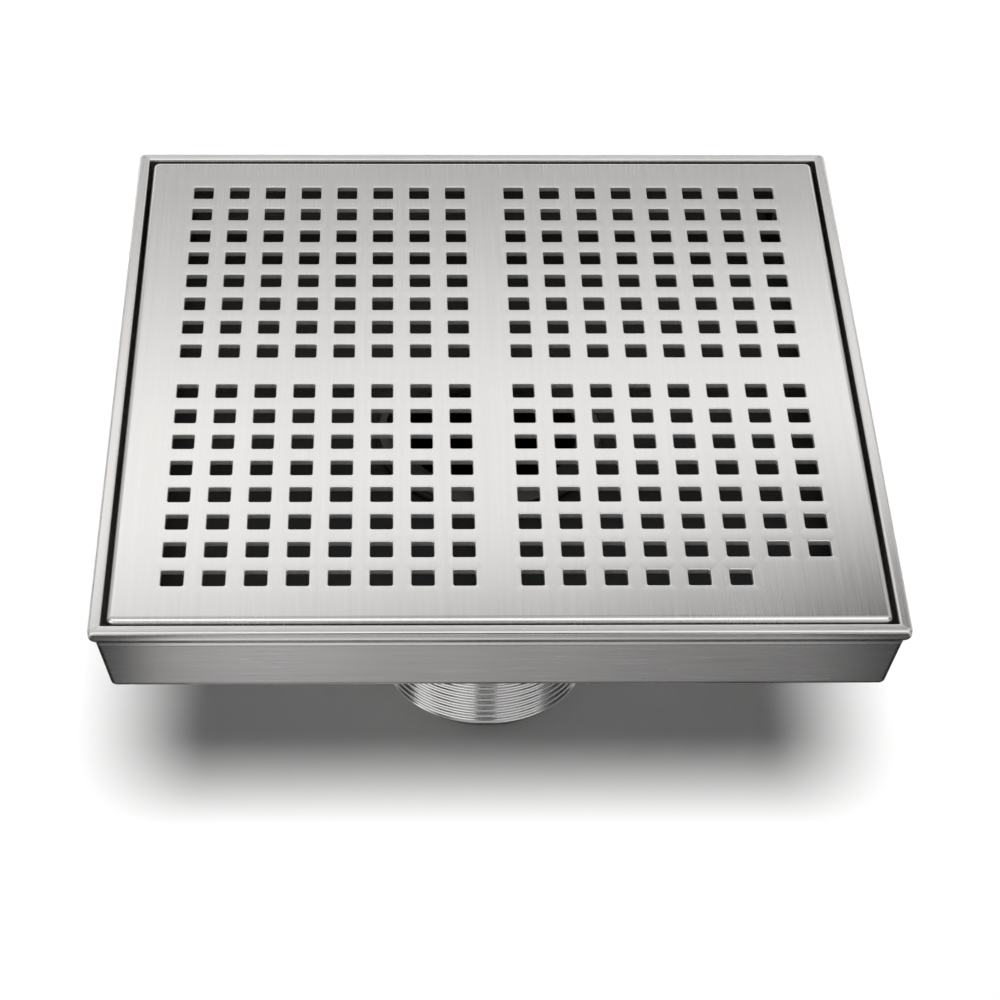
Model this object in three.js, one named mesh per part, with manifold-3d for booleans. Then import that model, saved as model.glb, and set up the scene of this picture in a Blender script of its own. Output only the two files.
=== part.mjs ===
// A square shower drain: a welded stainless pan with a threaded outlet, a lift-out perforated grate
// on four rubber-footed legs, and a hair strainer with a bail handle that sits in the outlet.
// Millimetres, +Z up, front at -Y. The origin is the centre of the outlet's lower end.
import * as THREE from 'three';
import { mergeVertices } from 'three/addons/utils/BufferGeometryUtils.js';
import Module from 'manifold-3d';

const wasm = await Module();
wasm.setup();

// ---------------------------------------------------------------- driving dimensions
const FRAME_SIDE = 201; // over the rim
const RIM_WIDTH = 3.1; // flat top of the rim
const RIM_DROP = 1.5; // straight outer face of the rim
const RIM_EDGE_RADIUS = 1;
const FLARE_HOLD = 2.4; // how far the flare under the rim still heads straight down
const FLARE_EASE = 1.3; // how far it already follows the leaning wall at its foot
const PAN_DEPTH = 22.7; // rim top to the underside of the pan
const PAN_SHEET = 1.3;
const WALL_DRAFT = 0.155; // the wall leans in by this much for each millimetre down
const WALL_TOP_DEPTH = 5.5; // from here down the wall is flat
const WALL_TOP_HALF = 98.9; // half width over the walls at that depth
const WALL_BEND_RADIUS = 1.8;
const FLOOR_EDGE_HALF = 93.4; // where the floor meets the bend at the foot of each wall
const FLOOR_FLAT_HALF = 82; // outside this the floor is level, for the grate's feet
const FLOOR_FALL = 2.4; // fall of the floor from its level margin to the outlet
const LANDING_RADIUS = 34; // flat ring round the outlet hole

const OUTLET_OUTER_RADIUS = 30.15; // two inch pipe
const OUTLET_BORE_RADIUS = 26.25;
const OUTLET_CHAMFER = 1.6;
const TOTAL_HEIGHT = 107; // outlet end to rim top

const GRATE_GAP = 1.1; // between the grate and the rim, all round
const GRATE_SHEET = 1.5;
const GRATE_SKIRT = 7; // height of the turned-down edge
const GRATE_EDGE_RADIUS = 1.5;
const GRATE_CORNER_RADIUS = 2;
const HOLE_SIDE = 5.67;
const HOLE_PITCH = 10.35;
const HOLES_PER_QUADRANT_SIDE = 8;
const CROSS_PITCH = 16.9; // hole to hole across the solid cross bands
const BLANK_HOLES = 2; // left out at the front right corner, where the plate stays plain

const RIB_THICKNESS = 2;
const RIB_HEIGHT = 8;
const LEG_RADIUS = 3.5;
const LEG_OFFSET = 89; // leg centre from the middle, along X and Y
const FOOT_RADIUS = 4.7;
const FOOT_HEIGHT = 3;
const FREE_GAP = 0.3; // between pieces that touch but come apart

const GASKET_HEIGHT = 1.5;
const GASKET_INNER_RADIUS = 26.4;
const GASKET_OUTER_RADIUS = 31;
const BASKET_RADIUS = 24.6;
const BASKET_SHEET = 1;
const BASKET_DEPTH = 30; // below its flange
const BASKET_FLANGE_RADIUS = 30.5;
const BASKET_FLANGE_HEIGHT = 1.2;
const SLOT_COUNT = 12;
const SLOT_WIDTH = 4;
const SLOT_HEIGHT = 18;
const DRAIN_HOLE_RADIUS = 2.2;
const DRAIN_RINGS = [[0, 1], [8, 6], [16, 12]]; // ring radius and number of holes in it
const HANDLE_WIRE_RADIUS = 1.2;
const HANDLE_HALF_SPAN = 27;
const HANDLE_RISE = 7.6; // flange to the middle of the wire at the top

const ROUND_SEGMENTS = 64;
const SMALL_SEGMENTS = 16;

// ---------------------------------------------------------------- levels below the rim top, z = 0
const RIM_HALF = FRAME_SIDE / 2;
const RIM_INNER_HALF = RIM_HALF - RIM_WIDTH;
const GRATE_HALF = RIM_INNER_HALF - GRATE_GAP;
const FLOOR_TOP = -PAN_DEPTH + PAN_SHEET;
const LANDING_TOP = FLOOR_TOP - FLOOR_FALL;
const LANDING_BOTTOM = LANDING_TOP - PAN_SHEET;
const OUTLET_END = -TOTAL_HEIGHT;
const FOOT_BOTTOM = FLOOR_TOP + FREE_GAP;
const FOOT_TOP = FOOT_BOTTOM + FOOT_HEIGHT;
const GASKET_BOTTOM = LANDING_TOP + FREE_GAP;
const FLANGE_BOTTOM = GASKET_BOTTOM + GASKET_HEIGHT;
const FLANGE_TOP = FLANGE_BOTTOM + BASKET_FLANGE_HEIGHT;
const BASKET_BOTTOM = FLANGE_BOTTOM - BASKET_DEPTH;

// ---------------------------------------------------------------- materials
const brushedSteel = (colour) => new THREE.MeshStandardMaterial({
  color: colour, roughness: 0.34, metalness: 1,
});
const PAN_STEEL = 0xb4b1ae;
const GRATE_STEEL = 0xd2cfcb;
const PIPE_STEEL = 0x9c9a98;
const STRAINER_STEEL = 0xc0bebb;
const blackRubber = () => new THREE.MeshStandardMaterial({
  color: 0x1c1c1d, roughness: 0.85, metalness: 0,
});

// ---------------------------------------------------------------- solids from geometries and back
function toSolid(geometry) {
  const bare = geometry.clone();
  bare.deleteAttribute('normal');
  bare.deleteAttribute('uv');
  const merged = mergeVertices(bare, 1e-4);
  return new wasm.Manifold(new wasm.Mesh({
    numProp: 3,
    vertProperties: new Float32Array(merged.attributes.position.array),
    triVerts: new Uint32Array(merged.index.array),
  }));
}

function toGeometry(solid) {
  const mesh = solid.getMesh();
  const geometry = new THREE.BufferGeometry();
  geometry.setAttribute('position', new THREE.BufferAttribute(mesh.vertProperties, 3));
  geometry.setIndex(new THREE.BufferAttribute(mesh.triVerts, 1));
  geometry.computeVertexNormals();
  return geometry;
}

function cut(body, tools) {
  return toGeometry(tools.reduce((solid, tool) => solid.subtract(toSolid(tool)), toSolid(body)));
}

// ---------------------------------------------------------------- general shapes
function squareOutline(half, cornerRadius) {
  const outline = new THREE.Shape();
  const c = half - cornerRadius;
  outline.absarc(c, c, cornerRadius, 0, Math.PI / 2);
  outline.absarc(-c, c, cornerRadius, Math.PI / 2, Math.PI);
  outline.absarc(-c, -c, cornerRadius, Math.PI, 1.5 * Math.PI);
  outline.absarc(c, -c, cornerRadius, 1.5 * Math.PI, 2 * Math.PI);
  outline.closePath();
  return outline;
}

function boxBetween(low, high) {
  const size = high.map((value, axis) => value - low[axis]);
  const box = new THREE.BoxGeometry(...size);
  return box.translate(...low.map((value, axis) => value + size[axis] / 2));
}

function uprightCylinder(radius, bottom, top, x = 0, y = 0, segments = SMALL_SEGMENTS) {
  const cylinder = new THREE.CylinderGeometry(radius, radius, top - bottom, segments);
  return cylinder.rotateX(Math.PI / 2).translate(x, y, (bottom + top) / 2);
}

// The profile is a list of [radius, z]. It runs anticlockwise with radius to the right and z up.
function turned(profile, segments = ROUND_SEGMENTS) {
  const points = profile.map(([radius, z]) => new THREE.Vector2(radius, z));
  return new THREE.LatheGeometry(points, segments).rotateX(Math.PI / 2);
}

// ---------------------------------------------------------------- pan
const wallHalf = (z) => WALL_TOP_HALF + WALL_DRAFT * (z + WALL_TOP_DEPTH);

// Section of one wall, in half width and z: rim, flare, leaning wall and the bend at its foot.
function wallSection() {
  const skin = PAN_SHEET * Math.hypot(1, WALL_DRAFT);
  const bendTop = -PAN_DEPTH + WALL_BEND_RADIUS;
  const innerBendRadius = WALL_BEND_RADIUS - PAN_SHEET;
  const innerBendTop = FLOOR_TOP + innerBendRadius;
  const innerHalf = (z) => wallHalf(z) - skin;
  const innerLeanTop = (RIM_INNER_HALF - innerHalf(0)) / WALL_DRAFT;

  const section = new THREE.Shape();
  section.moveTo(RIM_INNER_HALF, 0);
  section.lineTo(RIM_INNER_HALF, innerLeanTop);
  section.lineTo(innerHalf(innerBendTop), innerBendTop);
  section.quadraticCurveTo(
    innerHalf(FLOOR_TOP), FLOOR_TOP, innerHalf(FLOOR_TOP) - innerBendRadius, FLOOR_TOP);
  section.lineTo(FLOOR_EDGE_HALF, FLOOR_TOP);
  section.lineTo(FLOOR_EDGE_HALF, -PAN_DEPTH);
  section.lineTo(wallHalf(-PAN_DEPTH) - WALL_BEND_RADIUS, -PAN_DEPTH);
  section.quadraticCurveTo(wallHalf(-PAN_DEPTH), -PAN_DEPTH, wallHalf(bendTop), bendTop);
  section.lineTo(WALL_TOP_HALF, -WALL_TOP_DEPTH);
  section.bezierCurveTo(
    wallHalf(FLARE_EASE - WALL_TOP_DEPTH), FLARE_EASE - WALL_TOP_DEPTH,
    RIM_HALF, -RIM_DROP - FLARE_HOLD, RIM_HALF, -RIM_DROP);
  section.lineTo(RIM_HALF, -RIM_EDGE_RADIUS);
  section.absarc(RIM_HALF - RIM_EDGE_RADIUS, -RIM_EDGE_RADIUS, RIM_EDGE_RADIUS, 0, Math.PI / 2);
  section.closePath();
  return section;
}

// Each wall runs from mitre to mitre, so its length at any point is twice the half width there.
const WALL_SIDES = {
  front: (along, out) => [along, -out],
  right: (along, out) => [out, along],
  rear: (along, out) => [-along, out],
  left: (along, out) => [-out, -along],
};

function panWall(side) {
  const geometry = new THREE.ExtrudeGeometry(wallSection(), {
    depth: 2, steps: 1, bevelEnabled: false, curveSegments: 8,
  });
  const position = geometry.attributes.position;
  for (let i = 0; i < position.count; i += 1) {
    const half = position.getX(i);
    const z = position.getY(i);
    const along = (1 - position.getZ(i)) * half;
    position.setXYZ(i, ...WALL_SIDES[side](along, half), z);
  }
  return geometry;
}

// Turned about the outlet, then its two outer rings are pushed out from circles to squares.
function panFloor() {
  const [edge, flat] = [FLOOR_EDGE_HALF, FLOOR_FLAT_HALF];
  const floor = turned([
    [OUTLET_BORE_RADIUS, LANDING_BOTTOM],
    [LANDING_RADIUS, LANDING_BOTTOM],
    [flat, -PAN_DEPTH],
    [edge, -PAN_DEPTH],
    [edge, FLOOR_TOP],
    [flat, FLOOR_TOP],
    [LANDING_RADIUS, LANDING_TOP],
    [OUTLET_BORE_RADIUS, LANDING_TOP],
    [OUTLET_BORE_RADIUS, LANDING_BOTTOM],
  ]);
  const position = floor.attributes.position;
  for (let i = 0; i < position.count; i += 1) {
    const [x, y] = [position.getX(i), position.getY(i)];
    const radius = Math.hypot(x, y);
    if (radius > (LANDING_RADIUS + flat) / 2) {
      const half = radius > (flat + edge) / 2 ? edge : flat;
      const stretch = half / Math.max(Math.abs(x), Math.abs(y));
      position.setX(i, x * stretch);
      position.setY(i, y * stretch);
    }
  }
  return floor;
}

function outletNipple() {
  const [outer, bore] = [OUTLET_OUTER_RADIUS, OUTLET_BORE_RADIUS];
  return turned([
    [bore, OUTLET_END],
    [outer - OUTLET_CHAMFER, OUTLET_END],
    [outer, OUTLET_END + OUTLET_CHAMFER],
    [outer, LANDING_BOTTOM],
    [bore, LANDING_BOTTOM],
    [bore, OUTLET_END],
  ]);
}

// ---------------------------------------------------------------- grate
function holePositions() {
  const positions = [];
  const side = HOLES_PER_QUADRANT_SIDE;
  for (let column = 0; column < side; column += 1) {
    for (let row = 0; row < side; row += 1) {
      const x = CROSS_PITCH / 2 + column * HOLE_PITCH;
      const y = CROSS_PITCH / 2 + row * HOLE_PITCH;
      const blank = row === side - 1 && column >= side - BLANK_HOLES;
      positions.push([x, y], [-x, y], [-x, -y]);
      if (!blank) positions.push([x, -y]);
    }
  }
  return positions;
}

function squareHole(x, y) {
  const reach = HOLE_SIDE / 2;
  const hole = new THREE.Shape();
  hole.moveTo(x - reach, y - reach);
  hole.lineTo(x + reach, y - reach);
  hole.lineTo(x + reach, y + reach);
  hole.lineTo(x - reach, y + reach);
  hole.closePath();
  return hole;
}

// A tray turned upside down: rounded on top, with a skirt, and punched with square holes.
function grateCover() {
  const round = GRATE_EDGE_RADIUS;
  const block = new THREE.ExtrudeGeometry(
    squareOutline(GRATE_HALF - round, GRATE_CORNER_RADIUS - round), {
      depth: 2 * GRATE_SKIRT, bevelEnabled: true, bevelSegments: 4,
      bevelSize: round, bevelThickness: round, curveSegments: 4,
    }).translate(0, 0, -2 * GRATE_SKIRT - round);
  const below = boxBetween(
    [-RIM_HALF, -RIM_HALF, -4 * GRATE_SKIRT], [RIM_HALF, RIM_HALF, -GRATE_SKIRT]);
  const hollow = new THREE.ExtrudeGeometry(
    squareOutline(GRATE_HALF - GRATE_SHEET, GRATE_CORNER_RADIUS - GRATE_SHEET), {
      depth: 2 * GRATE_SKIRT, bevelEnabled: false, curveSegments: 4,
    }).translate(0, 0, -2 * GRATE_SKIRT - GRATE_SHEET);
  const holes = new THREE.ExtrudeGeometry(holePositions().map(([x, y]) => squareHole(x, y)), {
    depth: 2 * GRATE_SHEET, bevelEnabled: false,
  }).translate(0, 0, -1.5 * GRATE_SHEET);
  return cut(block, [below, hollow, holes]);
}

function ribBetween(xRange, yRange) {
  const top = -GRATE_SHEET;
  return boxBetween([xRange[0], yRange[0], top - RIB_HEIGHT], [xRange[1], yRange[1], top]);
}

function grateRibs() {
  const inside = GRATE_HALF - GRATE_SHEET - FREE_GAP;
  const middle = [-RIB_THICKNESS / 2, RIB_THICKNESS / 2];
  return {
    grate_rib_long: ribBetween([-inside, inside], middle),
    grate_rib_short_front: ribBetween(middle, [-inside, middle[0]]),
    grate_rib_short_rear: ribBetween(middle, [middle[1], inside]),
  };
}

// ---------------------------------------------------------------- strainer
function strainerBasket() {
  const inside = BASKET_RADIUS - BASKET_SHEET;
  const cup = turned([
    [0, BASKET_BOTTOM],
    [BASKET_RADIUS - BASKET_SHEET, BASKET_BOTTOM],
    [BASKET_RADIUS, BASKET_BOTTOM + BASKET_SHEET],
    [BASKET_RADIUS, FLANGE_BOTTOM],
    [BASKET_FLANGE_RADIUS, FLANGE_BOTTOM],
    [BASKET_FLANGE_RADIUS, FLANGE_TOP],
    [inside, FLANGE_TOP],
    [inside, BASKET_BOTTOM + BASKET_SHEET],
    [0, BASKET_BOTTOM + BASKET_SHEET],
  ], 48);
  const tools = [];
  const slotMiddle = (FLANGE_BOTTOM + BASKET_BOTTOM) / 2;
  for (let i = 0; i < SLOT_COUNT; i += 1) {
    const slot = new THREE.BoxGeometry(4 * BASKET_SHEET, SLOT_WIDTH, SLOT_HEIGHT);
    slot.translate(BASKET_RADIUS - BASKET_SHEET / 2, 0, slotMiddle);
    tools.push(slot.rotateZ((i + 0.5) * 2 * Math.PI / SLOT_COUNT));
  }
  for (const [ring, count] of DRAIN_RINGS) {
    for (let i = 0; i < count; i += 1) {
      const angle = i * 2 * Math.PI / count;
      tools.push(uprightCylinder(DRAIN_HOLE_RADIUS, BASKET_BOTTOM - 1, BASKET_BOTTOM + 2,
        ring * Math.cos(angle), ring * Math.sin(angle), 8));
    }
  }
  return cut(cup, tools);
}

function strainerGasket() {
  return turned([
    [GASKET_INNER_RADIUS, GASKET_BOTTOM],
    [GASKET_OUTER_RADIUS, GASKET_BOTTOM],
    [GASKET_OUTER_RADIUS, FLANGE_BOTTOM],
    [GASKET_INNER_RADIUS, FLANGE_BOTTOM],
    [GASKET_INNER_RADIUS, GASKET_BOTTOM],
  ], 48);
}

// A bent wire: up from the flange, across and down again.
function strainerHandle() {
  const bend = HANDLE_RISE * 0.75;
  const [span, top] = [HANDLE_HALF_SPAN, FLANGE_TOP + HANDLE_RISE];
  const at = (x, z) => new THREE.Vector3(x, 0, z);
  const path = new THREE.CurvePath();
  path.add(new THREE.LineCurve3(at(-span, FLANGE_TOP), at(-span, top - bend)));
  path.add(new THREE.QuadraticBezierCurve3(at(-span, top - bend), at(-span, top), at(bend - span, top)));
  path.add(new THREE.LineCurve3(at(bend - span, top), at(span - bend, top)));
  path.add(new THREE.QuadraticBezierCurve3(at(span - bend, top), at(span, top), at(span, top - bend)));
  path.add(new THREE.LineCurve3(at(span, top - bend), at(span, FLANGE_TOP)));
  const section = new THREE.Shape();
  section.absarc(0, 0, HANDLE_WIRE_RADIUS, 0, 2 * Math.PI);
  return new THREE.ExtrudeGeometry(section, { extrudePath: path, steps: 36, curveSegments: 5 });
}

// ---------------------------------------------------------------- assembly
function piece(name, geometry, material) {
  const mesh = new THREE.Mesh(geometry, material);
  mesh.name = name;
  return mesh;
}

function panGroup() {
  const pan = new THREE.Group();
  for (const side of Object.keys(WALL_SIDES)) {
    pan.add(piece(`pan_wall_${side}`, panWall(side), brushedSteel(PAN_STEEL)));
  }
  pan.add(piece('pan_floor', panFloor(), brushedSteel(PAN_STEEL)));
  pan.add(piece('outlet_nipple', outletNipple(), brushedSteel(PIPE_STEEL)));
  return pan;
}

function grateGroup() {
  const grate = new THREE.Group();
  grate.add(piece('grate_cover', grateCover(), brushedSteel(GRATE_STEEL)));
  for (const [name, rib] of Object.entries(grateRibs())) {
    grate.add(piece(name, rib, brushedSteel(GRATE_STEEL)));
  }
  for (const [depthName, ySign] of [['front', -1], ['rear', 1]]) {
    for (const [sideName, xSign] of [['left', -1], ['right', 1]]) {
      const [x, y] = [xSign * LEG_OFFSET, ySign * LEG_OFFSET];
      const leg = uprightCylinder(LEG_RADIUS, FOOT_TOP, -GRATE_SHEET, x, y, 24);
      const foot = uprightCylinder(FOOT_RADIUS, FOOT_BOTTOM, FOOT_TOP, x, y, 24);
      grate.add(piece(`grate_leg_${depthName}_${sideName}`, leg, brushedSteel(GRATE_STEEL)));
      grate.add(piece(`grate_foot_${depthName}_${sideName}`, foot, blackRubber()));
    }
  }
  return grate;
}

function strainerGroup() {
  const strainer = new THREE.Group();
  strainer.add(piece('strainer_basket', strainerBasket(), brushedSteel(STRAINER_STEEL)));
  strainer.add(piece('strainer_gasket', strainerGasket(), blackRubber()));
  strainer.add(piece('strainer_handle', strainerHandle(), brushedSteel(STRAINER_STEEL)));
  return strainer;
}

const drain = new THREE.Group();
drain.add(panGroup(), grateGroup(), strainerGroup());
drain.position.z = TOTAL_HEIGHT;

export default drain;
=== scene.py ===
"""Looks of a square shower drain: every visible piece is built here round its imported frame.

Lengths are in metres in the frame's axes: +Z up, front at -Y, origin under the outlet pipe.
"""
import math

import bmesh
import bpy
import numpy as np
from mathutils import Matrix, Vector


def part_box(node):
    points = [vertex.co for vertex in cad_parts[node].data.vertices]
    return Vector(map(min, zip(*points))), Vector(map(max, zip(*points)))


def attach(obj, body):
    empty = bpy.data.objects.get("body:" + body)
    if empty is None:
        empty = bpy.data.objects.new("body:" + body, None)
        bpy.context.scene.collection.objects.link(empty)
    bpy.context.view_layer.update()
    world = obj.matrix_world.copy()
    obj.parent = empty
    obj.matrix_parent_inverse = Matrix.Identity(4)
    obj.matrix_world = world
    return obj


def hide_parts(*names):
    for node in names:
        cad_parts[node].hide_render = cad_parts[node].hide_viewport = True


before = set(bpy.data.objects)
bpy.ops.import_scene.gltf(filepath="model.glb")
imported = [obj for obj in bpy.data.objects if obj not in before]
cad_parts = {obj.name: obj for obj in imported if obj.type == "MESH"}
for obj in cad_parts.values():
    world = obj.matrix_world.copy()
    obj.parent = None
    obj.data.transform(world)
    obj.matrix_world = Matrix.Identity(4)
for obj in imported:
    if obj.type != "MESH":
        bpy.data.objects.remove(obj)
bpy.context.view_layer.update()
MM = 0.001

# ------------------------------------------------------------------ sizes read from the frame
WALL_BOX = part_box("pan_wall_front")
COVER_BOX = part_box("grate_cover")
FLOOR_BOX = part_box("pan_floor")
PIPE_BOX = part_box("outlet_nipple")
BASKET_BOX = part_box("strainer_basket")
GASKET_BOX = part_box("strainer_gasket")
HANDLE_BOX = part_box("strainer_handle")
RIM_TOP = WALL_BOX[1].z
RIM_HALF = WALL_BOX[1].x
PAN_BOTTOM = WALL_BOX[0].z
COVER_HALF = COVER_BOX[1].x
COVER_TOP = COVER_BOX[1].z
SKIRT_BOTTOM = COVER_BOX[0].z
FLOOR_HALF = FLOOR_BOX[1].x
FLOOR_TOP = FLOOR_BOX[1].z
LANDING_BOTTOM = FLOOR_BOX[0].z
PIPE_RADIUS = PIPE_BOX[1].x

# ------------------------------------------------------------------ sizes the frame's boxes don't give
RIM_WIDTH = 3.1 * MM
RIM_DROP = 1.5 * MM
RIM_EDGE = 0.8 * MM
RIM_INNER_EDGE = 0.8 * MM
# The leaning wall is WALL_TOP_HALF wide at WALL_TOP_DEPTH; the rim's flare ends a little above that.
WALL_DRAFT = 0.155
WALL_TOP_DEPTH = 5.5 * MM
WALL_TOP_HALF = 98.9 * MM
WALL_BEND = 1.8 * MM
PAN_SHEET = 1.3 * MM
FLARE_DEPTH = 4.9 * MM
FLARE_HOLD = 2.4 * MM
FLARE_EASE = 1.3 * MM
CREASE_HEIGHT = 1.3 * MM
CREASE_RISE = 0.06 * MM
WALL_CORNER = 1.4 * MM
INNER_CORNER = 0.3 * MM
FLOOR_FLAT_HALF = 82 * MM
LANDING_RADIUS = 34 * MM
LANDING_EDGE = 0.3 * MM
MITRE_GROOVE = 0.09 * MM
OUTLET_WELD_RADIUS = 1.3 * MM
OUTLET_WELD_OFFSET = 0.3 * MM
WELD_RIPPLE = 0.12
WELD_PITCH = 1.6 * MM

COVER_SHEET = 1.5 * MM
COVER_EDGE = 1.5 * MM
COVER_CORNER = 2.0 * MM
CORNER_STEPS = 5
HOLE_SIDE = 5.67 * MM
HOLE_PITCH = 10.35 * MM
HOLE_CORNER = 0.55 * MM
HOLE_EDGE = 0.28 * MM
HOLE_ARC_STEPS = 4
SKIRT_EDGE = 0.25 * MM
CROSS_PITCH = 16.9 * MM
QUADRANT = 8
BLANK_HOLES = 2

BAR_EDGE = 0.3 * MM
LEG_EDGE = 0.3 * MM
LEG_FILLET = 1.1 * MM
FOOT_SOLE = 0.7 * MM
FOOT_TOP = 0.5 * MM
FOOT_GROOVE = 0.35 * MM
FOOT_GROOVE_HEIGHTS = (1.4 * MM, 1.6 * MM, 1.9 * MM, 2.1 * MM)

BORE_RADIUS = 26.25 * MM
THREAD_PITCH = 25.4 / 11.5 * MM
THREAD_DEPTH = 0.85 * MM
THREAD_LENGTH = 66 * MM
THREAD_ROWS = 10
RUN_OUT_TURNS = 3
PIPE_CHAMFER = 1.6 * MM
CHAMFER_SLOPE = 0.9
PIPE_SEGMENTS = 120

BASKET_SHEET = 1.0 * MM
BASKET_RADIUS = 24.6 * MM
BASKET_FLANGE = 1.2 * MM
BASKET_DRAW = 2.2 * MM
BASKET_LIP = 0.8 * MM
SLOT_COUNT = 12
SLOT_WIDTH = 4 * MM
SLOT_HEIGHT = 18 * MM
DRAIN_HOLE_RADIUS = 2.2 * MM
DRAIN_RINGS = [(0, 1), (8 * MM, 6), (16 * MM, 12)]
HANDLE_WIRE = 1.2 * MM
HANDLE_WELD_RADIUS = 0.45 * MM
GASKET_BORE = 26.4 * MM
GASKET_LIP = 0.35 * MM

# A turned piece closes on its axis with a ring of this radius.
AXIS = 0.01 * MM


# ------------------------------------------------------------------ mesh building
class Shape:
    """Points and faces of one piece while it is being built."""

    def __init__(self):
        self.points = []
        self.faces = []

    def ring(self, points):
        """Adds points and returns their numbers."""
        first = len(self.points)
        self.points += [tuple(p) for p in points]
        return list(range(first, len(self.points)))

    def join(self, ring_a, ring_b, closed=True):
        """Quads between two rings of the same length."""
        count = len(ring_a)
        for i in range(count if closed else count - 1):
            j = (i + 1) % count
            self.faces.append((ring_a[i], ring_a[j], ring_b[j], ring_b[i]))

    def join_all(self, rings, closed=True, round_again=False):
        for ring_a, ring_b in zip(rings, rings[1:]):
            self.join(ring_a, ring_b, closed)
        if round_again:
            self.join(rings[-1], rings[0], closed)

    def cap_ends(self, rings):
        """A face over the first ring and one over the last."""
        self.faces += [tuple(rings[0]), tuple(reversed(rings[-1]))]


def grain_across_x(p, n):
    """Brushed along Y: the first number runs across the scratches, the second along them."""
    side_x = abs(n[0]) > 0.7
    side_y = abs(n[1]) > 0.7
    u = p[0] - (math.copysign(p[2], p[0]) if side_x else 0)
    v = p[1] - (math.copysign(p[2], p[1]) if side_y else 0)
    return u, v


def grain_round_z(p, n):
    """Turned or rolled round the origin's vertical axis."""
    radius = math.hypot(p[0], p[1])
    return radius - p[2], math.atan2(p[1], p[0]) * max(radius, MM)


def build(name, shape, material, body, grain, replaces=(), smooth_angle=32, flat_faces=False,
          second=None, uses_second=None):
    """Makes the piece, its grain coordinates and its shading, and seats it on its body.

    Faces for which uses_second(centre, normal) is true take the second material.
    """
    mesh = bpy.data.meshes.new(name)
    mesh.from_pydata(shape.points, [], shape.faces)
    piece = bpy.data.objects.new(name, mesh)
    bpy.context.scene.collection.objects.link(piece)
    tidy_mesh(mesh)
    mesh.polygons.foreach_set("use_smooth", [True] * len(mesh.polygons))
    mesh.set_sharp_from_angle(angle=math.radians(smooth_angle))
    layer = mesh.uv_layers.new(name="grain")
    for polygon in mesh.polygons:
        middle = polygon.center
        turn = math.atan2(middle.y, middle.x)
        for loop in polygon.loop_indices:
            point = mesh.vertices[mesh.loops[loop].vertex_index].co
            u, v = grain(point, polygon.normal)
            if grain is grain_round_z:
                v = near_angle(point, turn)
            layer.data[loop].uv = (u, v)
    mesh.materials.append(material)
    if second:
        mesh.materials.append(second)
        for polygon in mesh.polygons:
            polygon.material_index = int(uses_second(polygon.center, polygon.normal))
    if flat_faces:
        weighted = piece.modifiers.new("flat faces", "WEIGHTED_NORMAL")
        weighted.keep_sharp = True
        weighted.weight = 100
    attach(piece, body)
    if replaces:
        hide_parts(*replaces)


def near_angle(point, turn):
    """Length round the axis, without a jump inside one face."""
    angle = math.atan2(point.y, point.x)
    while angle - turn > math.pi:
        angle -= 2 * math.pi
    while turn - angle > math.pi:
        angle += 2 * math.pi
    return angle * max(math.hypot(point.x, point.y), MM)


def tidy_mesh(mesh):
    work = bmesh.new()
    work.from_mesh(mesh)
    bmesh.ops.remove_doubles(work, verts=work.verts, dist=0.002 * MM)
    bmesh.ops.dissolve_degenerate(work, edges=work.edges, dist=0.001 * MM)
    bmesh.ops.recalc_face_normals(work, faces=work.faces)
    work.to_mesh(mesh)
    work.free()
    mesh.update()


def arc(centre, radius, start, end, steps):
    """Points on an arc in two dimensions, angles in degrees."""
    angles = np.radians(np.linspace(start, end, steps + 1))
    return [(centre[0] + radius * math.cos(a), centre[1] + radius * math.sin(a)) for a in angles]


def bezier(points, steps):
    """Points on a quadratic or cubic curve through its control points."""
    made = []
    for t in np.linspace(0, 1, steps + 1):
        level = [np.array(p, float) for p in points]
        while len(level) > 1:
            level = [a + (b - a) * t for a, b in zip(level, level[1:])]
        made.append(tuple(level[0]))
    return made


def without_repeats(points):
    kept = [points[0]]
    for p in points[1:]:
        if math.dist(p, kept[-1]) > 0.004 * MM:
            kept.append(p)
    if math.dist(kept[0], kept[-1]) <= 0.004 * MM:
        kept.pop()
    return kept


def lathe(profile, segments=96, centre=(0.0, 0.0), closed=True):
    """Turns a list of (radius, z) round a vertical axis."""
    shape = Shape()
    rings = []
    for radius, z in profile:
        turn = np.linspace(0, 2 * math.pi, segments, endpoint=False)
        rings.append(shape.ring(
            [(centre[0] + radius * math.cos(a), centre[1] + radius * math.sin(a), z) for a in turn]))
    shape.join_all(rings, round_again=closed)
    if not closed:
        shape.cap_ends(rings)
    return shape


# ------------------------------------------------------------------ materials
HAIR_WIDTH, HAIR_LENGTH = 0.32 * MM, 22 * MM
STREAK_WIDTH, STREAK_LENGTH = 1.7 * MM, 90 * MM
SMEAR_SIZE = 45 * MM
SCRATCH_DEPTH = 0.02 * MM
BLOOM_SIZE = 6 * MM
PEBBLE_SIZE = 0.35 * MM
PEBBLE_DEPTH = 0.05 * MM


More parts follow.
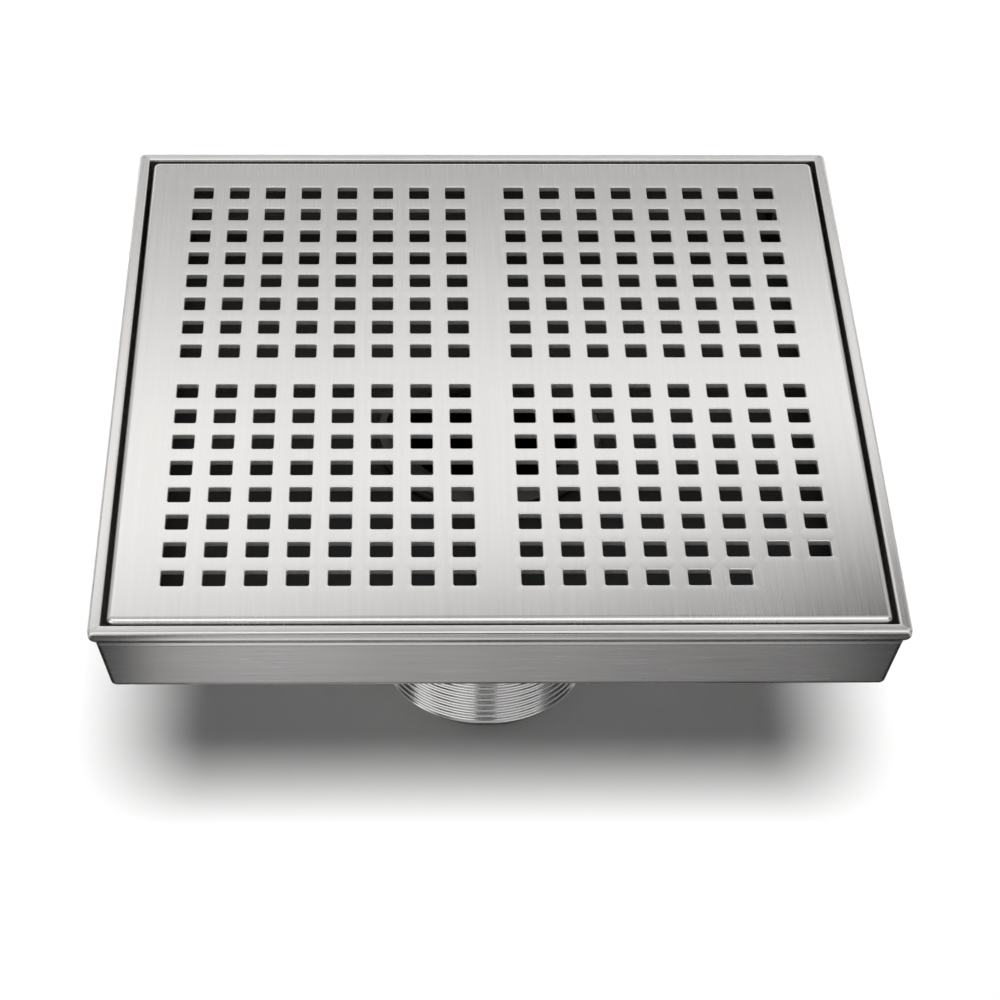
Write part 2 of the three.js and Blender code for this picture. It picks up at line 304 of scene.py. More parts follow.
class Nodes:
    """The node tree of a material or world, with short ways to add and link nodes."""

    def __init__(self, owner):
        owner.use_nodes = True
        self.owner = owner
        self.tree = owner.node_tree
        self.shader = self.tree.nodes.get("Principled BSDF")

    def add(self, kind, **settings):
        node = self.tree.nodes.new(kind)
        for key, value in settings.items():
            if key in node.inputs:
                node.inputs[key].default_value = value
            else:
                setattr(node, key, value)
        return node

    def link(self, source, target):
        self.tree.links.new(source, target)

    def ramp(self, source, low, high):
        """Maps a noise's 0.3 to 0.7 to the range low to high."""
        node = self.add("ShaderNodeMapRange")
        node.inputs["From Min"].default_value = 0.3
        node.inputs["From Max"].default_value = 0.7
        node.inputs["To Min"].default_value = low
        node.inputs["To Max"].default_value = high
        self.link(source, node.inputs["Value"])
        return node.outputs["Result"]

    def maths(self, operation, a, b=0.0):
        """One operation on numbers or sockets; some operations take no second one."""
        node = self.add("ShaderNodeMath", operation=operation)
        for socket, value in zip(node.inputs, (a, b)):
            if isinstance(value, (int, float)):
                socket.default_value = value
            else:
                self.link(value, socket)
        return node.outputs[0]

    def curve(self, source, stops):
        """Levels at stops of (place, level), joined smoothly."""
        first, last = stops[0][0], stops[-1][0]
        peak = max(level for _, level in stops)
        spread = self.add("ShaderNodeMapRange")
        spread.inputs["From Min"].default_value = first
        spread.inputs["From Max"].default_value = last
        self.link(source, spread.inputs["Value"])
        ramp = self.add("ShaderNodeValToRGB")
        ramp.color_ramp.interpolation = "CARDINAL"
        elements = ramp.color_ramp.elements
        for place, _ in stops[1:-1]:
            elements.new((place - first) / (last - first))
        for element, (_, level) in zip(elements, stops):
            element.color = (level / peak, level / peak, level / peak, 1)
        self.link(spread.outputs["Result"], ramp.inputs["Fac"])
        return self.maths("MULTIPLY", ramp.outputs["Color"], peak)

    def grain_noise(self, across, along, detail=2.0):
        """Noise stretched along the scratches; across and along are wavelengths in metres."""
        uv = self.add("ShaderNodeUVMap", uv_map="grain")
        mapping = self.add("ShaderNodeMapping")
        mapping.inputs["Scale"].default_value = (1 / across, 1 / along, 1)
        noise = self.add("ShaderNodeTexNoise")
        noise.inputs["Scale"].default_value = 1.0
        noise.inputs["Detail"].default_value = detail
        self.link(uv.outputs["UV"], mapping.inputs["Vector"])
        self.link(mapping.outputs["Vector"], noise.inputs["Vector"])
        return noise.outputs["Fac"]

    def cloud_noise(self, size, detail=3.0):
        """Soft blotches of about that size, fixed to the object."""
        place = self.add("ShaderNodeTexCoord")
        noise = self.add("ShaderNodeTexNoise")
        noise.inputs["Scale"].default_value = 1 / size
        noise.inputs["Detail"].default_value = detail
        self.link(place.outputs["Object"], noise.inputs["Vector"])
        return noise.outputs["Fac"]


def brushed_steel(name, colour, roughness, anisotropy, scratch=1.0):
    """Stainless steel with scratches along the grain, faint smears and slight colour drift."""
    nodes = Nodes(bpy.data.materials.new(name))
    shader = nodes.shader
    shader.inputs["Metallic"].default_value = 1.0
    shader.inputs["Anisotropic"].default_value = anisotropy
    hair = nodes.grain_noise(HAIR_WIDTH, HAIR_LENGTH, detail=3.0)
    streak = nodes.grain_noise(STREAK_WIDTH, STREAK_LENGTH)
    cloud = nodes.cloud_noise(SMEAR_SIZE)

    tone = nodes.maths("MULTIPLY", nodes.ramp(hair, 1 - 0.05 * scratch, 1 + 0.05 * scratch),
                       nodes.ramp(streak, 1 - 0.035 * scratch, 1 + 0.035 * scratch))
    tone = nodes.maths("MULTIPLY", tone, nodes.ramp(cloud, 0.97, 1.03))
    tint = nodes.add("ShaderNodeVectorMath", operation="SCALE")
    tint.inputs[0].default_value = colour
    nodes.link(tone, tint.inputs["Scale"])
    nodes.link(tint.outputs["Vector"], shader.inputs["Base Color"])

    rough = nodes.maths("ADD", nodes.ramp(hair, roughness - 0.05 * scratch, roughness + 0.05 * scratch),
                        nodes.ramp(cloud, -0.02, 0.02))
    nodes.link(rough, shader.inputs["Roughness"])

    bump = nodes.add("ShaderNodeBump")
    bump.inputs["Strength"].default_value = 0.35 * scratch
    bump.inputs["Distance"].default_value = SCRATCH_DEPTH
    nodes.link(hair, bump.inputs["Height"])
    nodes.link(bump.outputs["Normal"], shader.inputs["Normal"])

    tangent = nodes.add("ShaderNodeTangent", direction_type="UV_MAP", uv_map="grain")
    nodes.link(tangent.outputs["Tangent"], shader.inputs["Tangent"])
    return nodes.owner


def rubber(name):
    """Matt moulded black rubber with a fine pebble and a dusty bloom."""
    nodes = Nodes(bpy.data.materials.new(name))
    shader = nodes.shader
    shader.inputs["Specular IOR Level"].default_value = 0.35
    cloud = nodes.cloud_noise(BLOOM_SIZE)
    pebble = nodes.cloud_noise(PEBBLE_SIZE, detail=1.0)
    tint = nodes.add("ShaderNodeVectorMath", operation="SCALE")
    tint.inputs[0].default_value = (0.026, 0.026, 0.027)
    nodes.link(nodes.ramp(cloud, 0.8, 1.4), tint.inputs["Scale"])
    nodes.link(tint.outputs["Vector"], shader.inputs["Base Color"])
    nodes.link(nodes.ramp(cloud, 0.62, 0.8), shader.inputs["Roughness"])
    bump = nodes.add("ShaderNodeBump")
    bump.inputs["Strength"].default_value = 0.4
    bump.inputs["Distance"].default_value = PEBBLE_DEPTH
    nodes.link(pebble, bump.inputs["Height"])
    nodes.link(bump.outputs["Normal"], shader.inputs["Normal"])
    return nodes.owner


GRATE_STEEL = brushed_steel("grate steel", (0.74, 0.725, 0.71), roughness=0.25, anisotropy=0.7,
                            scratch=0.5)
CUT_STEEL = brushed_steel("punched steel", (0.6, 0.59, 0.58), roughness=0.6, anisotropy=0.1)
RIM_STEEL = brushed_steel("rim steel", (0.72, 0.705, 0.69), roughness=0.28, anisotropy=0.6,
                          scratch=0.6)
# A darker copy of the rim steel for the faces that don't face up: painted shade.
SHADED_WALL_STEEL = brushed_steel("pan steel painted shade", (0.5, 0.49, 0.485), roughness=0.24, anisotropy=0.5,
                           scratch=0.6)
# Near-black steel for the inside of the pan: painted shade where the grate keeps the light out.
SHADED_INNER_STEEL = brushed_steel("pan inside steel painted shade", (0.08, 0.08, 0.08), roughness=0.55, anisotropy=0.2)
PIPE_STEEL = brushed_steel("threaded steel", (0.58, 0.575, 0.57), roughness=0.16, anisotropy=0.2,
                           scratch=0.4)
PLAIN_STEEL = brushed_steel("plain steel", (0.62, 0.61, 0.60), roughness=0.3, anisotropy=0.3)
# Dark steel for the strainer under the grate: painted shade.
SHADED_STRAINER_STEEL = brushed_steel("strainer steel painted shade", (0.16, 0.158, 0.155), roughness=0.4, anisotropy=0.3)
BLACK_RUBBER = rubber("black rubber")


# ------------------------------------------------------------------ pan
def wall_half(z):
    """Half width over the leaning wall at height z."""
    return WALL_TOP_HALF + WALL_DRAFT * (z - RIM_TOP + WALL_TOP_DEPTH)


def inner_wall_half(z):
    return min(RIM_HALF - RIM_WIDTH, wall_half(z) - PAN_SHEET * math.hypot(1, WALL_DRAFT))


def wall_profile():
    """Closed section of a wall as (half width, z), from the rim's inner edge round to itself."""
    edge = RIM_INNER_EDGE
    inner_half = RIM_HALF - RIM_WIDTH
    bend_top = PAN_BOTTOM + WALL_BEND
    inner_bend = WALL_BEND - PAN_SHEET
    flat_top = RIM_TOP - FLARE_DEPTH
    face_end = RIM_TOP - RIM_DROP
    points = arc((inner_half + edge, RIM_TOP - edge), edge, 180, 90, 7)
    points += arc((RIM_HALF - RIM_EDGE, RIM_TOP - RIM_EDGE), RIM_EDGE, 90, 0, 9)
    points += bezier([(RIM_HALF, face_end), (RIM_HALF, face_end - FLARE_HOLD),
                      (wall_half(flat_top + FLARE_EASE), flat_top + FLARE_EASE),
                      (wall_half(flat_top), flat_top)], 18)
    points += [(wall_half(flat_top - share * CREASE_HEIGHT) + CREASE_RISE * math.sin(math.pi * share),
                flat_top - share * CREASE_HEIGHT) for share in np.linspace(0, 1, 9)[1:]]
    points += bezier([(wall_half(bend_top), bend_top), (wall_half(PAN_BOTTOM), PAN_BOTTOM),
                      (wall_half(PAN_BOTTOM) - WALL_BEND, PAN_BOTTOM)], 8)
    points += [(FLOOR_HALF, PAN_BOTTOM), (FLOOR_HALF, FLOOR_TOP)]
    foot = inner_wall_half(FLOOR_TOP)
    points += bezier([(foot - inner_bend, FLOOR_TOP), (foot, FLOOR_TOP),
                      (inner_wall_half(FLOOR_TOP + inner_bend), FLOOR_TOP + inner_bend)], 4)
    inner_lean_top = RIM_TOP - WALL_TOP_DEPTH + (
        inner_half + PAN_SHEET * math.hypot(1, WALL_DRAFT) - WALL_TOP_HALF) / WALL_DRAFT
    points += [(inner_half, inner_lean_top)]
    return without_repeats(points)


def shrunk(profile, amount):
    """The closed section moved inwards by amount."""
    p = np.array(profile)
    ahead = np.roll(p, -1, axis=0) - p
    behind = p - np.roll(p, 1, axis=0)
    ahead /= np.linalg.norm(ahead, axis=1)[:, None]
    behind /= np.linalg.norm(behind, axis=1)[:, None]
    along = ahead + behind
    along /= np.linalg.norm(along, axis=1)[:, None]
    return p - amount * np.stack([-along[:, 1], along[:, 0]], axis=1)


SIDES = {
    "front": lambda along, out: (along, -out),
    "right": lambda along, out: (out, along),
    "rear": lambda along, out: (-along, out),
    "left": lambda along, out: (-out, -along),
}


def wall_ring(profile, turn, end, place):
    """The section at one end of a wall, turned by so many degrees round the pan's corner."""
    points = []
    angle = math.radians(turn)
    for half, z in profile:
        outwards = min(max(half - inner_wall_half(z), 0), WALL_CORNER - INNER_CORNER)
        corner = INNER_CORNER + outwards
        middle = half - corner
        points.append((*place(end * (middle + corner * math.sin(angle)),
                              middle + corner * math.cos(angle)), z))
    return points


def pan_walls():
    """Four walls from mitre to mitre; each seam is a fine groove on a rounded corner."""
    profile = np.array(wall_profile())
    grooved = shrunk(profile, MITRE_GROOVE)
    turns = [45, 41, 30, 20, 10, 0]
    for side, place in SIDES.items():
        shape = Shape()
        ends = [(-1, turn) for turn in turns] + [(1, turn) for turn in reversed(turns)]
        rings = [shape.ring(wall_ring(grooved if turn == 45 else profile, turn, end, place))
                 for end, turn in ends]
        shape.join_all(rings)
        shape.cap_ends(rings)
        along_x = side in ("front", "rear")

        def grain(p, n, along_x=along_x):
            out, along = (abs(p[1]), p[0]) if along_x else (abs(p[0]), p[1])
            return out - p[2], along

        # Up-facing faces take the rim steel; the rest take its darker copy, which is painted shade.
        build(f"{side}_wall", shape, RIM_STEEL, "pan", grain,
              replaces=[f"pan_wall_{side}"], second=SHADED_WALL_STEEL,
              uses_second=lambda centre, normal: normal.z < 0.6)


def square_ring(half, z, per_side=24):
    """Points round a square in the same turn as a lathe's ring, starting on +X."""
    points = []
    for i in range(4 * per_side):
        angle = 2 * math.pi * i / (4 * per_side)
        reach = half / max(abs(math.cos(angle)), abs(math.sin(angle)))
        points.append((reach * math.cos(angle), reach * math.sin(angle), z))
    return points


def round_ring(radius, z, count=96):
    return [(radius * math.cos(a), radius * math.sin(a), z)
            for a in np.linspace(0, 2 * math.pi, count, endpoint=False)]


def pan_floor():
    """Level margin, four falls meeting in creases, and a dished landing round the outlet."""
    shape = Shape()
    landing_top = LANDING_BOTTOM + PAN_SHEET
    rings = [
        shape.ring(round_ring(BORE_RADIUS, landing_top - LANDING_EDGE)),
        shape.ring(round_ring(BORE_RADIUS + LANDING_EDGE, landing_top)),
        shape.ring(round_ring(LANDING_RADIUS, landing_top)),
        shape.ring(square_ring(FLOOR_FLAT_HALF, FLOOR_TOP)),
        shape.ring(square_ring(FLOOR_HALF, FLOOR_TOP)),
        shape.ring(square_ring(FLOOR_HALF, PAN_BOTTOM)),
        shape.ring(square_ring(FLOOR_FLAT_HALF, PAN_BOTTOM)),
        shape.ring(round_ring(LANDING_RADIUS, LANDING_BOTTOM)),
        shape.ring(round_ring(BORE_RADIUS, LANDING_BOTTOM)),
    ]
    shape.join_all(rings, round_again=True)
    # Its underside takes the walls' darker copy of the steel, painted shade.
    # The inside of the pan takes near-black steel, painted shade.
    build("sloped_floor", shape, SHADED_INNER_STEEL, "pan", lambda p, n: (p[1], p[0]),
          replaces=["pan_floor"], smooth_angle=12, second=SHADED_WALL_STEEL,
          uses_second=lambda centre, normal: normal.z < -0.5)


def weld_bead(name, path, radius, body, material=PLAIN_STEEL, ripple=WELD_RIPPLE):
    """A rippled round seam along a closed, level path."""
    shape = Shape()
    points = [Vector(p) for p in path]
    rings = []
    travelled = 0.0
    for i, point in enumerate(points):
        before, after = points[i - 1], points[(i + 1) % len(points)]
        travelled += (point - before).length if i else 0.0
        forward = (after - before).normalized()
        side = forward.cross(Vector((0, 0, 1))).normalized()
        up = side.cross(forward)
        size = radius * (1 + ripple * math.cos(2 * math.pi * travelled / WELD_PITCH))
        rings.append(shape.ring([
            point + side * size * math.cos(a) + up * size * math.sin(a)
            for a in np.linspace(0, 2 * math.pi, 10, endpoint=False)]))
    shape.join_all(rings, round_again=True)
    build(name, shape, material, body, grain_round_z, smooth_angle=60)


def pan_welds():
    ring = round_ring(PIPE_RADIUS + OUTLET_WELD_OFFSET, LANDING_BOTTOM - OUTLET_WELD_OFFSET, 480)
    weld_bead("outlet_weld", ring, OUTLET_WELD_RADIUS, "pan")


def threaded_pipe():
    """A pipe whose lower part carries a helical thread, cut off square with a chamfered end."""
    shape = Shape()
    top, bottom = LANDING_BOTTOM, PIPE_BOX[0].z
    start = bottom - 2 * THREAD_PITCH
    rows = int((THREAD_LENGTH + 4 * THREAD_PITCH) / THREAD_PITCH * THREAD_ROWS)
    minor = PIPE_RADIUS - THREAD_DEPTH
    run_out = bottom + THREAD_LENGTH

    def radius_at(z, phase):
        crest = 0.5 + 0.5 * math.cos(2 * math.pi * phase)
        fading = RUN_OUT_TURNS * THREAD_PITCH
        fade = min(1.0, max(0.0, (z - (run_out - fading)) / fading))
        root = minor + (PIPE_RADIUS - minor) * fade
        chamfered = PIPE_RADIUS - PIPE_CHAMFER + (z - bottom) * CHAMFER_SLOPE
        return min(root + (PIPE_RADIUS - root) * crest, max(chamfered, minor - 0.3 * MM))

    strips = []
    for j in range(rows + 1):
        ring = []
        for i in range(PIPE_SEGMENTS + 1):
            share = i / PIPE_SEGMENTS
            z = start + (j / THREAD_ROWS + share) * THREAD_PITCH
            radius = radius_at(z, j / THREAD_ROWS)
            angle = 2 * math.pi * share
            ring.append((radius * math.cos(angle), radius * math.sin(angle), z))
        strips.append(shape.ring(ring))
    for lower, upper in zip(strips, strips[1:]):
        shape.join(lower, upper, closed=False)
    mesh = bpy.data.meshes.new("thread")
    mesh.from_pydata(shape.points, [], shape.faces)
    work = bmesh.new()
    work.from_mesh(mesh)
    bmesh.ops.remove_doubles(work, verts=work.verts, dist=0.002 * MM)
    for height, normal in ((bottom, (0, 0, -1)), (run_out, (0, 0, 1))):
        everything = work.verts[:] + work.edges[:] + work.faces[:]
        bmesh.ops.bisect_plane(work, geom=everything, plane_co=(0, 0, height), plane_no=normal,
                               clear_outer=True, dist=0.001 * MM)
    rings = {height: [] for height in (bottom, run_out)}
    for edge in work.edges:
        if edge.is_boundary:
            height = min(rings, key=lambda h: abs(edge.verts[0].co.z - h))
            rings[height].append(edge)
    lower_bore = new_loop(work, BORE_RADIUS, bottom)
    upper = new_loop(work, PIPE_RADIUS, top)
    upper_bore = new_loop(work, BORE_RADIUS, top)
    bmesh.ops.bridge_loops(work, edges=rings[bottom] + lower_bore)
    bmesh.ops.bridge_loops(work, edges=rings[run_out] + upper)
    bmesh.ops.bridge_loops(work, edges=upper + upper_bore)
    bmesh.ops.bridge_loops(work, edges=upper_bore + lower_bore)
    bmesh.ops.recalc_face_normals(work, faces=work.faces)
    work.to_mesh(mesh)
    work.free()
    finished = Shape()
    finished.points = [tuple(v.co) for v in mesh.vertices]
    finished.faces = [tuple(p.vertices) for p in mesh.polygons]
    bpy.data.meshes.remove(mesh)
    build("threaded_outlet", finished, PIPE_STEEL, "pan", grain_round_z,
          replaces=["outlet_nipple"], smooth_angle=40)


def new_loop(work, radius, z):
    """A closed loop of edges round the axis, added to a mesh in work."""
    verts = [work.verts.new(p) for p in round_ring(radius, z, PIPE_SEGMENTS)]
    return [work.edges.new((verts[i], verts[(i + 1) % len(verts)])) for i in range(len(verts))]


# ------------------------------------------------------------------ grate
def outline(half, corner, z, marks):
    """A rounded square through the marks on each side, with an arc at each corner."""
    points = []
    centre = half - corner
    for quarter in range(4):
        turn = quarter * math.pi / 2
        c, s = math.cos(turn), math.sin(turn)
        side = [(half, m) for m in marks]
        bend = [(centre + corner * math.cos(a), centre + corner * math.sin(a))
                for a in np.linspace(0, math.pi / 2, CORNER_STEPS + 1)][1:-1]
        points += [(c * x - s * y, s * x + c * y, z) for x, y in side + bend]
    return points


def hole_loop(x, y, half, corner, z):
    """Points round a square hole with rounded corners, corner by corner."""
    points = []
    reach = half - corner
    for quarter in range(4):
        for a in np.linspace(0, math.pi / 2, HOLE_ARC_STEPS + 1):
            turn = quarter * math.pi / 2
            local = (reach + corner * math.cos(a), reach + corner * math.sin(a))
            points.append((x + math.cos(turn) * local[0] - math.sin(turn) * local[1],
                           y + math.sin(turn) * local[0] + math.cos(turn) * local[1], z))
    return points


def cell_with_hole(shape, corners, loop):
    """Faces between a cell's four corner points and the loop of its hole."""
    per_corner = HOLE_ARC_STEPS + 1
    for quarter in range(4):
        first = quarter * per_corner
        arc_points = [loop[first + k] for k in range(per_corner)]
        following = loop[(first + per_corner) % len(loop)]
        corner, next_corner = corners[quarter], corners[(quarter + 1) % 4]
        for a, b in zip(arc_points, arc_points[1:]):
            shape.faces.append((corner, b, a))
        shape.faces.append((corner, next_corner, following, arc_points[-1]))


def grate_plate():
    """The perforated cover: rolled hole edges, rounded rim, turned-down skirt."""
    shape = Shape()
    inset_half = COVER_HALF - COVER_EDGE
    inset_corner = COVER_CORNER - COVER_EDGE
    last_mark = inset_half - inset_corner
    half_lines = [CROSS_PITCH / 2 + (k - 0.5) * HOLE_PITCH for k in range(QUADRANT + 1)]
    lines = [-last_mark] + [-v for v in reversed(half_lines)] + half_lines + [last_mark]
    under = COVER_TOP - COVER_SHEET

    def plane(z, grow):
        """The plate's cells at that height, their holes wider by grow all round."""
        grid = {}
        for i, x in enumerate(lines):
            for j, y in enumerate(lines):
                grid[i, j] = shape.ring([(x, y, z)])[0]
        loops = {}
        middle = len(lines) // 2 - 1
        for i in range(len(lines) - 1):
            for j in range(len(lines) - 1):
                corners = [grid[i + 1, j + 1], grid[i, j + 1], grid[i, j], grid[i + 1, j]]
                edge_cell = i in (0, len(lines) - 2) or j in (0, len(lines) - 2)
                blank = j == 1 and i >= len(lines) - 2 - BLANK_HOLES
                if edge_cell or i == middle or j == middle or blank:
                    shape.faces.append(tuple(corners))
                    continue
                x, y = (lines[i] + lines[i + 1]) / 2, (lines[j] + lines[j + 1]) / 2
                loop = shape.ring(hole_loop(x, y, HOLE_SIDE / 2 + grow, HOLE_CORNER + grow, z))
                cell_with_hole(shape, corners, loop)
                loops[i, j] = (loop, x, y)
        return grid, loops

    top_grid, top_loops = plane(COVER_TOP, HOLE_EDGE)
    low_grid, low_loops = plane(under, 0)
    for key, (loop, x, y) in top_loops.items():
        rings = [loop]
        for a in np.radians([30, 60, 90]):
            grow = HOLE_EDGE * (1 - math.sin(a))
            rings.append(shape.ring(hole_loop(
                x, y, HOLE_SIDE / 2 + grow, HOLE_CORNER + grow,
                COVER_TOP - HOLE_EDGE * (1 - math.cos(a)))))
        rings.append(low_loops[key][0])
        shape.join_all(rings)

    def border(grid):
        """The grid's outer points in the outline's order, with a corner repeated along its arc."""
        last = len(lines) - 1
        sides = ([grid[last, j] for j in range(last + 1)],
                 [grid[last - i, last] for i in range(last + 1)],
                 [grid[0, last - j] for j in range(last + 1)],
                 [grid[i, 0] for i in range(last + 1)])
        return [index for side in sides for index in side + [side[-1]] * (CORNER_STEPS - 1)]

    rings = []
    profile = [(inset_half + COVER_EDGE * math.sin(a), inset_corner + COVER_EDGE * math.sin(a),
                COVER_TOP - COVER_EDGE * (1 - math.cos(a))) for a in np.radians(np.linspace(0, 90, 9))]
    profile += [(COVER_HALF, COVER_CORNER, SKIRT_BOTTOM + SKIRT_EDGE),
                (COVER_HALF - SKIRT_EDGE, COVER_CORNER - SKIRT_EDGE, SKIRT_BOTTOM),
                (inset_half + SKIRT_EDGE, inset_corner + SKIRT_EDGE, SKIRT_BOTTOM),
                (inset_half, inset_corner, SKIRT_BOTTOM + SKIRT_EDGE),
                (inset_half, inset_corner, under)]
    for half, corner, z in profile:
        rings.append(shape.ring(outline(half, corner, z, lines)))
    shape.join_all(rings)
    for grid, ring in ((top_grid, rings[0]), (low_grid, rings[-1])):
        inner = border(grid)
        for k in range(len(ring)):
            n = (k + 1) % len(ring)
            face = [inner[k], inner[n], ring[n], ring[k]]
            if face[0] == face[1]:
                face = face[1:]
            shape.faces.append(tuple(face))

    def is_cut(centre, normal):
        inside = max(abs(centre.x), abs(centre.y)) < inset_half
        return inside and centre.z > under and abs(normal.z) < 0.35

    build("grate_plate", shape, GRATE_STEEL, "grate", grain_across_x,
          replaces=["grate_cover"], smooth_angle=35, flat_faces=True, second=CUT_STEEL,
          uses_second=is_cut)


def bar(name, node, body, material):
    """A flat bar with eased edges in the place of a CAD box."""
    edge = BAR_EDGE
    low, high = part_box(node)
    centre, half = (low + high) / 2, (high - low) / 2
    shape = Shape()
    rings = []
    for a, side in [(-90, -1), (-45, -1), (0, -1), (0, 1), (45, 1), (90, 1)]:
        pull = edge * (1 - math.cos(math.radians(a)))
        z = side * (half.z - edge) + edge * math.sin(math.radians(a))
        loop = []
        for quarter in range(4):
            sx, sy = ((1, 1), (-1, 1), (-1, -1), (1, -1))[quarter]
            start = quarter * 90
            for b in np.radians([start, start + 45, start + 90]):
                x = sx * (half.x - edge) + (edge - pull) * math.cos(b)
                y = sy * (half.y - edge) + (edge - pull) * math.sin(b)
                loop.append((centre.x + x, centre.y + y, centre.z + z))
        rings.append(shape.ring(loop))
    shape.join_all(rings)
    shape.cap_ends(rings)
    along_x = half.x > half.y
    build(name, shape, material, body,
          lambda p, n: (p[2] + (p[1] if along_x else p[0]), p[0] if along_x else p[1]),
          replaces=[node], smooth_angle=50, flat_faces=True)


def grate_underside():
    for name in ("long", "short_front", "short_rear"):
        bar(f"rib_{name}", f"grate_rib_{name}", "grate", PLAIN_STEEL)
    for place in ("front_left", "front_right", "rear_left", "rear_right"):
        leg(place)
        foot(place)


def leg(place):
    """A stud with a weld fillet where it meets the cover."""
    low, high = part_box(f"grate_leg_{place}")
    centre = (low + high) / 2
    radius = (high.x - low.x) / 2
    profile = [(AXIS, low.z), (radius - LEG_EDGE, low.z), (radius, low.z + LEG_EDGE),
               (radius, high.z - LEG_FILLET)]
    profile += arc((radius + LEG_FILLET, high.z - LEG_FILLET), LEG_FILLET, 180, 90, 6)[1:]
    profile += [(AXIS, high.z)]
    shape = lathe(profile, 40, (centre.x, centre.y), closed=False)
    build(f"leg_{place}", shape, PLAIN_STEEL, "grate",
          lambda p, n: (p[2], (p[0] - centre.x) + (p[1] - centre.y)),
          replaces=[f"grate_leg_{place}"])


def foot(place):
    """A moulded pad with a rounded sole and a groove round its neck."""
    low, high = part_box(f"grate_foot_{place}")
    centre = (low + high) / 2
    radius = (high.x - low.x) / 2
    neck = radius - FOOT_GROOVE
    profile = [(AXIS, low.z)]
    profile += arc((radius - FOOT_SOLE, low.z + FOOT_SOLE), FOOT_SOLE, -90, 0, 5)
    profile += [(reach, low.z + height)
                for reach, height in zip((radius, neck, neck, radius), FOOT_GROOVE_HEIGHTS)]
    profile += arc((radius - FOOT_TOP, high.z - FOOT_TOP), FOOT_TOP, 0, 90, 4)
    profile += [(AXIS, high.z)]
    shape = lathe(profile, 40, (centre.x, centre.y), closed=False)
    build(f"foot_{place}", shape, BLACK_RUBBER, "grate",
          lambda p, n: (p[2], (p[0] - centre.x) + (p[1] - centre.y)),
          replaces=[f"grate_foot_{place}"])


# ------------------------------------------------------------------ strainer
def strainer_gasket():
    low, high = GASKET_BOX
    outer, inner, lip = high.x, GASKET_BORE, GASKET_LIP
    profile = arc((inner + lip, low.z + lip), lip, 180, 270, 3)
    profile += arc((outer - lip, low.z + lip), lip, 270, 360, 3)
    profile += arc((outer - lip, high.z - lip), lip, 0, 90, 3)
    profile += arc((inner + lip, high.z - lip), lip, 90, 180, 3)
    build("seal_ring", lathe(without_repeats(profile), 120), BLACK_RUBBER, "strainer",
          grain_round_z, replaces=["strainer_gasket"])


def strainer_handle():
    low, high = HANDLE_BOX
    span = high.x - HANDLE_WIRE
    top = high.z - HANDLE_WIRE
    bend = (top - low.z) * 0.75
    path = [(-span, low.z), (-span, top - bend)]
    path += bezier([(-span, top - bend), (-span, top), (bend - span, top)], 10)[1:]
    path += bezier([(span - bend, top), (span, top), (span, top - bend)], 10)
    path += [(span, low.z)]
    shape = Shape()
    rings = []
    for i, (x, z) in enumerate(path):
        ahead = path[min(i + 1, len(path) - 1)]
        behind = path[max(i - 1, 0)]
        turn = math.atan2(ahead[1] - behind[1], ahead[0] - behind[0])
        rings.append(shape.ring([
            (x - math.sin(turn) * HANDLE_WIRE * math.cos(a), HANDLE_WIRE * math.sin(a),
             z + math.cos(turn) * HANDLE_WIRE * math.cos(a))
            for a in np.linspace(0, 2 * math.pi, 20, endpoint=False)]))
    shape.join_all(rings)
    shape.cap_ends(rings)
    # The handle's dark steel is painted shade.
    build("bail_handle", shape, SHADED_STRAINER_STEEL, "strainer",
          lambda p, n: (p[1], p[0] + p[2]), replaces=["strainer_handle"], smooth_angle=60)
    for side in (-1, 1):
        ring = round_ring(HANDLE_WIRE + 0.25 * MM, low.z + 0.15 * MM, 36)
        spot = [(x + side * span, y, z) for x, y, z in ring]
        weld_bead(f"handle_weld_{'left' if side < 0 else 'right'}", spot, HANDLE_WELD_RADIUS,
                  "strainer", SHADED_STRAINER_STEEL, ripple=0.0)


def carved(shape, cutter):
    """The first shape less the second."""
    made = []
    for part in (shape, cutter):
        mesh = bpy.data.meshes.new("carving")
        mesh.from_pydata(part.points, [], part.faces)
        tidy_mesh(mesh)
        piece = bpy.data.objects.new("carving", mesh)
        bpy.context.scene.collection.objects.link(piece)
        made.append(piece)
    body, tool = made
    modifier = body.modifiers.new("cut", "BOOLEAN")
    modifier.operation = "DIFFERENCE"
    modifier.solver = "EXACT"
    modifier.object = tool
    depsgraph = bpy.context.evaluated_depsgraph_get()
    mesh = bpy.data.meshes.new_from_object(body.evaluated_get(depsgraph))
    result = Shape()
    result.points = [tuple(v.co) for v in mesh.vertices]
    result.faces = [tuple(p.vertices) for p in mesh.polygons]
    for piece in made:
        bpy.data.objects.remove(piece)
    return result


def prism(shape, outline_points, start, step):
    """Adds a solid with that outline, from start through step."""
    near = shape.ring([Vector(p) + start for p in outline_points])
    far = shape.ring([Vector(p) + start + step for p in outline_points])
    shape.join(near, far)
    shape.faces += [tuple(reversed(near)), tuple(far)]


